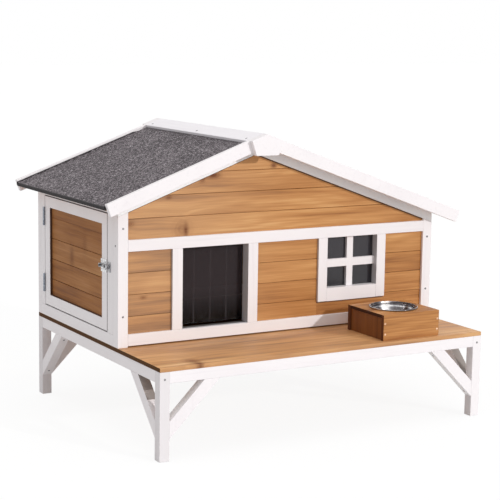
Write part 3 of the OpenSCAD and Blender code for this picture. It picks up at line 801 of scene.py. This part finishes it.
doorBoards = {
    "fir": {"darkening": shade(220, 216, 226), "gloss": 0.08, "contrast": 0.8, "bend": 0.1,
            "knots": [(0.152, 0.48, 0.016, 0.034, 0.5), (0.055, 0.53, 0.016, 0.03, 0.3)]},
    "tints": [-0.12, -0.06, 0.02, -0.06, -0.1],
    "tight": (3,),
    "seed": 19,
    "shadowLine": 2.5 * mm,
}
panelLow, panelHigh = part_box("side_door_boards")
# painted shade in the recess round the door's panel
doorFinish = stainedFir("door_fir", axisY, axisZ, seed=doorBoards["seed"],
                        rimShade=((panelLow.y, panelLow.z), (panelHigh.y, panelHigh.z),
                                doorBoards["shadowLine"]), **doorBoards["fir"])
boardWall("planks_side_door", "side_door_boards", "side_door", doorFinish, doorBoards["tints"],
          doorBoards["seed"], doorBoards["tight"])
print("wall boards made")


# Platform panel, and the roof's boards, which show only from below
deck = {
    "fir": {"seed": 5.0, "contrast": 1.5, "lift": 0.055, "wash": 0.19, "staves": 145 * mm,
            "knots": [(-0.437, -0.43, 0.022, 0.034, 0.6), (-0.434, -0.462, 0.012, 0.014, 0.7)]},
    "ends": shade(82, 53, 26),
    "edge": 1.0 * mm,
}
roofBoard = {"fir": {"seed": 23.0, "staves": 90 * mm}, "edge": 0.6 * mm}
deckFinish = stainedFir("deck_fir", axisX, axisY,
                        endFaces=sawnEnds(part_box("deck_panel"), deck["ends"]), **deck["fir"])
dress("deck_panel", deckFinish, deck["edge"])
roofFinish = stainedFir("roof_fir", axisY, axisX, **roofBoard["fir"])
for node in ("roof_panel_left", "roof_panel_right"):
    dress(node, roofFinish, roofBoard["edge"])
print("platform and roof boards dressed")


# Roofing felt: a sheet that lies a little unevenly, turns down round the eave and stands up a
# little against the barge boards
feltSheet = {
    "round": 2.6 * mm,
    "cells": 26,
    "uneven": 0.7 * mm,
    "wavesPerMetre": 9,
    "tame": 30 * mm,
    "frayed": 7 * mm,
    "chamfer": 0.6 * mm,
    "lip": 1.5 * mm,
    "upstand": 4.2 * mm,
    "fold": 0.1 * mm,
    "capReach": 32 * mm,
    "band": 3 * mm,
    "skin": 0.1 * mm,
    "seed": 3.0,
    "smooth": 40,
}
feltFinish = mineralFelt("mineral_felt")


def feltPiece(name, node, side):
    low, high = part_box(node)
    points = corners(node)
    slope = Vector((side * math.cos(roofPitch), 0, -math.sin(roofPitch)))
    rise = Vector((side * math.sin(roofPitch), 0, math.cos(roofPitch)))
    runs = points @ np.array(slope)
    rises = points @ np.array(rise)
    top, base = rises.max(), rises.min()
    outer = runs.max()
    under = rises[runs < runs.min() + feltSheet["band"]].min()  # the underside on the boards
    inner = runs[rises < base + feltSheet["skin"]].min()  # the fold's inner face
    meeting = high.x if side < 0 else low.x
    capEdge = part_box("ridge_caps")[0].x if side < 0 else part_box("ridge_caps")[1].x

    def at(run, up, y):
        point = slope * run + rise * up
        return Vector((point.x, y, point.z))

    def ridgeRun(up):  # the run at which the sheet meets the ridge
        return (meeting - rise.x * up) / slope.x

    r, steps, tame = (feltSheet[key] for key in ("round", "cells", "tame"))
    chamfer, lip, fold = (feltSheet[key] for key in ("chamfer", "lip", "fold"))
    start, brink = ridgeRun(top), outer - r
    depths = [(y, 0.0) for y in np.linspace(low.y + lip, high.y - lip, 2 * steps + 1)]
    depths = [(low.y, 1.0), (low.y + lip - fold, 1.0)] + depths
    depths += [(high.y - lip + fold, 1.0), (high.y, 1.0)]
    rings = []
    for y, standing in depths:
        ring = []
        for run in list(np.linspace(start, brink - feltSheet["frayed"], steps)) + [brink]:
            loose = min(1.0, (run - start) / tame, (brink - run) / tame, (y - low.y) / tame,
                        (high.y - y) / tame)
            rate = feltSheet["wavesPerMetre"]
            wave = noise.noise(Vector((run * rate, y * rate, feltSheet["seed"] + side))) * 0.5 - 0.5
            point = at(run, top + wave * feltSheet["uneven"] * max(0.0, loose), y)
            if side * (point.x - capEdge) > feltSheet["capReach"]:
                point += rise * feltSheet["upstand"] * standing
            ring.append(point)
        ring += [at(run, up, y) for run, up in arc((brink, top - r), r, (60, 30, 0))]
        ring.append(at(outer, base + chamfer, y))
        ring.append(at(outer - chamfer, base, y))
        ring.append(at(inner, base, y))
        ring.append(at(inner, under, y))
        ring.append(at(ridgeRun(under), under, y))
        rings.append(ring)
    bm = bmesh.new()
    edge = bm.verts.layers.float.new("edge")
    loft(bm, rings)
    for place, vertex in enumerate(bm.verts):  # dark along the upstands and round the eave
        row, column = divmod(place, len(rings[0]))
        vertex[edge] = depths[row][1] if column < steps else 1.0
    makePiece(name, bm, feltFinish, "house", (node,), feltSheet["smooth"])


feltPiece("felt_sheet_left", "felt_left", -1)
feltPiece("felt_sheet_right", "felt_right", 1)
print("felt laid")


# Hanging strips of clear film: thin, a little bowed, each with a round hem that it turns on
film = {
    "thick": 0.7 * mm,
    "bow": 0.5 * mm,
    "steps": 24,
    "rim": 2.2 * mm,
    "wider": 0.3 * mm,
    "hemRim": 0.5,
    "smooth": 40,
}


def filmStrip(number):
    node = f"strip_{number}"
    low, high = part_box(node)
    hem = (high.y - low.y) / 2
    y = (low.y + high.y) / 2
    bm = bmesh.new()
    rim = bm.faces.layers.float.new("rim")
    left, right = low.x - film["wider"], high.x + film["wider"]
    across = [left, left + film["rim"], right - film["rim"], right]
    rings = []
    for i in range(film["steps"] + 1):
        share = i / film["steps"]
        z = low.z + (high.z - hem - low.z) * share
        bow = film["bow"] * math.sin(share * math.tau + number) * (1 - share)
        front = [(x, y + bow - film["thick"] / 2, z) for x in across]
        rings.append(front + [(x, y + bow + film["thick"] / 2, z) for x in reversed(across)])
    for band in loft(bm, rings):
        for place in (0, 2, 3, 4, 6, 7):  # the painted highlight's faces: all but the wide middles of both faces
            band[place][rim] = 1.0
    hoops = [[(x, y + hem * c, high.z - hem + hem * s) for c, s in circle(film["steps"])]
             for x in (low.x, high.x)]
    for band in loft(bm, hoops):
        for one in band:
            one[rim] = film["hemRim"]
    makePiece(f"film_strip_{number}", bm, filmFinish, node, (node,), film["smooth"])


for number in (1, 2, 3, 4):
    filmStrip(number)

pane = {"edge": 0.4 * mm}
dress("window_pane", sheetFinish, pane["edge"])
print("clear strips and pane made")


# Food station
foodBox = {
    "ends": shade(94, 53, 28),
    "top": shade(60, 31, 14),
    "endFir": {"seed": 31.0, "lift": -0.08},
    "topFir": {"seed": 33.0, "lift": -0.16},
    "sideFir": {"seed": 35.0, "darkening": shade(166, 145, 119)},
    "endEdge": 1.0 * mm,
    "topEdge": 0.8 * mm,
    "sideEdge": 0.6 * mm,
}
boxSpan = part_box("food_box_ends")
# painted shade on the rear board's face beside the recessed side
boxEnds = stainedFir("box_fir", axisX, axisZ, endFaces=sawnEnds(boxSpan, foodBox["ends"]),
                     inner=(boxSpan[0].y + boxSpan[1].y) / 2, **foodBox["endFir"])
boxTop = stainedFir("box_top_fir", axisX, axisY, endFaces=sawnEnds(boxSpan, foodBox["top"]),
                    **foodBox["topFir"])
boxSides = stainedFir("box_side_fir", axisZ, axisY, **foodBox["sideFir"])
dress("food_box_ends", boxEnds, foodBox["endEdge"])
dress("food_box_top", boxTop, foodBox["topEdge"])
dress("food_box_sides", boxSides, foodBox["sideEdge"])


# Steel bowl: flat floor, rounded heel, sloping wall, collar, flange and rolled rim. The collar
# is the part of the wall that goes through the box's hole.
bowl = {
    "steps": 96,
    "thick": 1.0 * mm,
    "rim": 2.4 * mm,
    "heel": 9 * mm,
    "heelShare": 0.6,
    "collarIn": 8 * mm,
    "floorIn": 14 * mm,
    "collarHeight": 5 * mm,
    "bend": 1.5 * mm,
    "shoulder": ((-0.2 * mm, -0.4 * mm), (1.2 * mm, 0)),
    "smooth": 35,
}
bowlLow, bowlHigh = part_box("bowl")
bowlMiddle = (bowlLow + bowlHigh) / 2


def bowlProfile():
    radius = (bowlHigh.x - bowlLow.x) / 2
    depth = bowlHigh.z - bowlLow.z
    rim, thick, heel, bend = (bowl[key] for key in ("rim", "thick", "heel", "bend"))
    wall = radius - bowl["collarIn"]
    flange = depth - 2 * rim + thick
    heelAxis = wall - bowl["floorIn"] - heel * bowl["heelShare"]
    collar = flange - bowl["collarHeight"]
    points = [(0.0, thick)]
    points += arc((heelAxis, thick + heel), heel, range(-90, -19, 10))  # inside heel
    points += [(wall - thick, collar), (wall - thick, flange - bend)]
    points += [(wall + out, flange + up) for out, up in bowl["shoulder"]]
    points += arc((radius - rim, depth - rim), rim, range(250, -91, -20))  # the rolled rim
    points += [(wall + bend, flange - thick), (wall, flange - thick - bend), (wall, collar)]
    points += arc((heelAxis, heel), heel, range(-20, -91, -10))  # outside heel
    points.append((0.0, 0.0))
    return points


def steelBowl():
    bm = bmesh.new()
    loft(bm, [[(bowlMiddle.x + radius * c, bowlMiddle.y + radius * s, bowlLow.z + height)
               for c, s in circle(bowl["steps"])] for radius, height in bowlProfile()])
    finish = spunSteel("spun_steel", bowlMiddle, bowlHigh.z)
    makePiece("steel_bowl", bm, finish, "bowl", ("bowl",), bowl["smooth"])


steelBowl()
print("food station made")


# Screws: a domed head with a cross recess, each as rings of a share of its width and of its height
screw = {
    "radius": 3.2 * mm,
    "height": 0.8 * mm,
    "arm": 1.7 * mm,
    "half": 0.45 * mm,
    "steps": 32,
    "dome": ((1.0, 0.0), (1.0, 0.45), (0.92, 0.75), (0.7, 0.93)),
    "recess": ((1.0, 0.97), (0.9, 0.15)),
    "smooth": 35,
    "seed": 7,
}


def crossReach(angle):  # how far the recess reaches at an angle
    turn = abs((angle + math.pi / 4) % (math.pi / 2) - math.pi / 4)
    if turn < tiny:
        return screw["arm"]
    return min(screw["arm"] / math.cos(turn), screw["half"] / math.sin(turn))


def addHead(bm, middle, outward, size=1.0, spin=0.0, height=None):
    turn = outward.to_track_quat("Z", "Y").to_matrix().to_4x4()
    place = Matrix.Translation(middle) @ turn @ Matrix.Rotation(spin, 4, "Z")
    height = height or screw["height"] * size
    angles = [math.tau * i / screw["steps"] for i in range(screw["steps"])]

    def ring(reach, share, up):
        spokes = [(reach(a) * share * size, a) for a in angles]
        return [place @ Vector((r * math.cos(a), r * math.sin(a), height * up)) for r, a in spokes]

    rings = [ring(lambda angle: screw["radius"], share, up) for share, up in screw["dome"]]
    loft(bm, rings + [ring(crossReach, share, up) for share, up in screw["recess"]])


def separateParts(node):  # corner points of each loose part of a node
    data = nodes[node].data
    bm = bmesh.new()
    bm.from_mesh(data)
    bmesh.ops.remove_doubles(bm, verts=bm.verts, dist=weldGap)
    left = set(bm.verts)
    parts = []
    while left:
        part, edge = set(), [left.pop()]
        while edge:
            vertex = edge.pop()
            part.add(vertex)
            for link in vertex.link_edges:
                other = link.other_vert(vertex)
                if other in left:
                    left.discard(other)
                    edge.append(other)
        parts.append(np.array([vertex.co for vertex in part]))
    bm.free()
    return sorted(parts, key=lambda part: tuple(part.mean(0).round(4)))


def outwardOf(part):  # a flat head's axis, away from the wood
    middle = part.mean(0)
    axis = Vector(np.linalg.svd(part - middle)[2][2])
    if abs(axis.z) > facing:
        sign = axis.z  # on the ridge caps
    elif abs(axis.z) > leaning:
        sign = -axis.z  # under the braces
    else:
        sign = axis.dot(Vector((middle[0], middle[1], 0)))
    return axis if sign > 0 else -axis


def screwPiece(name, node, body, material):
    bm = bmesh.new()
    chance = random.Random(screw["seed"])
    for part in separateParts(node):
        outward = outwardOf(part)
        middle = Vector(part.mean(0)) - outward * screw["height"] / 2
        addHead(bm, middle, outward, spin=chance.uniform(0, math.pi / 2))
    makePiece(name, bm, material, body, (node,), screw["smooth"])


screwPiece("wood_screws", "screws", "house", zincFinishes["screw"])
screwPiece("box_pegs", "box_screws", "food_box", zincFinishes["peg"])

# Hinges and latch
hardware = {
    "edge": 0.25 * mm,
    "finishes": {"hinge_wall_leaves": "hinge", "hinge_door_leaves": "hinge",
                 "latch_plate": "plate", "latch_bolt": "bolt", "latch_keeper": "keeper"},
}
for node, kind in hardware["finishes"].items():
    dress(node, zincFinishes[kind], hardware["edge"])

latch = {"thick": 1.5 * mm, "screwSize": 0.62, "spin": 0.4, "inset": 8 * mm, "keeperInset": 5 * mm}


def plateScrews(name, node, body, inset, columns):  # two screws in each column
    low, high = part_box(node)
    bm = bmesh.new()
    face = high.x - latch["thick"]  # the plate's outer face
    places = [(y, z) for y in (low.y + inset, high.y - inset)[:columns]
              for z in (low.z + inset, high.z - inset)]
    for number, (y, z) in enumerate(places):
        addHead(bm, Vector((face, y, z)), Vector((-1, 0, 0)), latch["screwSize"],
                latch["spin"] + number)
    makePiece(name, bm, zincFinishes["screw"], body, (), screw["smooth"])


plateScrews("latch_plate_screws", "latch_plate", "side_door", latch["inset"], 2)
plateScrews("keeper_screws", "latch_keeper", "house", latch["keeperInset"], 1)

# Flat screws in the hinge leaves, which face each other across a narrow gap when the door is shut
hinge = {
    "half": 28.5 * mm,
    "inset": 7.5 * mm,
    "rise": 18 * mm,
    "gap": 0.3 * mm,
    "head": 0.18 * mm,
    "screwSize": 0.8,
    "spin": 0.5,
}


def hingeScrews(name, node, body, side):
    low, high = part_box(node)
    bm = bmesh.new()
    face = (low.y + high.y) / 2 + side * hinge["gap"]
    for middle in (low.z + hinge["half"], high.z - hinge["half"]):
        for step in (-1, 0, 1):
            place = Vector((high.x - hinge["inset"], face, middle + step * hinge["rise"]))
            addHead(bm, place, Vector((0, -side, 0)), hinge["screwSize"], hinge["spin"] + step,
                    hinge["head"])
    makePiece(name, bm, zincFinishes["plate"], body, (), screw["smooth"])


hingeScrews("hinge_wall_screws", "hinge_wall_leaves", "house", 1)
hingeScrews("hinge_door_screws", "hinge_door_leaves", "side_door", -1)
print("hardware made")


# Floor, background and studio light. A lamp is its strength, its width in degrees and its path.
studio = {
    "background": (1.0, 1.0, 1.0, 1.0),
    "ambient": 0.6,
    "lamps": {"key_light": (1.45, 2, (-31, 65, -25)), "top_light": (0.9, 40, (0, 6, -65))},
    "floorSize": 60,
    "floorDrop": 0.5 * mm,
    "floorShade": 0.1,
    "floorLit": 0.97,  # how bright that shade is under the open sky
    "floorBounce": shade(225, 225, 226),
}


def seenDirectly(shading):  # camera, mirror and glass rays
    rays = shading.node("ShaderNodeLightPath", out="Is Camera Ray")
    for kind in ("Is Glossy Ray", "Is Transmission Ray"):
        rays = rays.math("MAXIMUM", shading.node("ShaderNodeLightPath", out=kind))
    return rays


def studioFloor():
    bpy.ops.mesh.primitive_plane_add(size=studio["floorSize"],
                                     location=(0, 0, -studio["floorDrop"]))
    floor = bpy.context.active_object
    floor.name = "studio_floor"
    finish = Finish("studio_floor")
    finish.tree.nodes.remove(finish.shader)
    grey = studio["floorShade"]
    bounce = finish.node("ShaderNodeBsdfDiffuse", None, {"Color": studio["floorBounce"]})
    shadow = finish.node("ShaderNodeBsdfDiffuse", None, {"Color": (grey, grey, grey, 1.0)})
    glow = finish.node("ShaderNodeEmission", None, {"Strength": 1 - grey * studio["floorLit"]})
    seen = finish.node("ShaderNodeAddShader", None, {0: shadow, 1: glow})
    surface = finish.node("ShaderNodeMixShader", None, {0: seenDirectly(finish), 1: bounce, 2: seen})
    finish.feed(finish.tree.nodes["Material Output"].inputs["Surface"], surface)
    floor.data.materials.append(finish.material)


def studioWorld():
    world = bpy.data.worlds.new("studio")
    world.use_nodes = True
    bpy.context.scene.world = world
    sky = Shading(world.node_tree)
    background = sky.tree.nodes["Background"]
    level = sky.node("ShaderNodeMapRange", None,
                     {"Value": seenDirectly(sky), "To Min": studio["ambient"], "To Max": 1.0})
    sky.feed(background.inputs["Color"], studio["background"])
    sky.feed(background.inputs["Strength"], level)


def studioLamp(name, energy, size, path):
    lamp = bpy.data.lights.new(name, "SUN")
    lamp.energy = energy
    lamp.angle = math.radians(size)
    sun = bpy.data.objects.new(name, lamp)
    sun.rotation_euler = Vector(path).to_track_quat("-Z", "Y").to_euler()
    bpy.context.scene.collection.objects.link(sun)


# The photograph's camera, solved from the parallel edges of the house
lens = {
    "place": (-2.30458, -3.96314, 1.20183),
    "azimuth": 30.049,
    "dip": 8.878,
    "roll": 0.878,
    "focal": 106.516,
    "sensor": 36.0,
}


def photoCamera():
    turn, dip, roll = (math.radians(lens[key]) for key in ("azimuth", "dip", "roll"))
    ahead = Vector((math.sin(turn) * math.cos(dip), math.cos(turn) * math.cos(dip), -math.sin(dip)))
    right = ahead.cross(Vector(axisZ)).normalized()
    above = right.cross(ahead)
    across = right * math.cos(roll) + above * math.sin(roll)
    upward = above * math.cos(roll) - right * math.sin(roll)
    data = bpy.data.cameras.new("photo_camera")
    data.lens = lens["focal"]
    data.sensor_width = lens["sensor"]
    camera = bpy.data.objects.new("photo_camera", data)
    axes = Matrix((across, upward, -ahead)).transposed()
    camera.matrix_world = Matrix.Translation(lens["place"]) @ axes.to_4x4()
    bpy.context.scene.collection.objects.link(camera)
    bpy.context.scene.camera = camera


studioFloor()
studioWorld()
for name, light in studio["lamps"].items():
    studioLamp(name, *light)
photoCamera()
bpy.context.scene.view_settings.view_transform = "Standard"
print("studio set up")
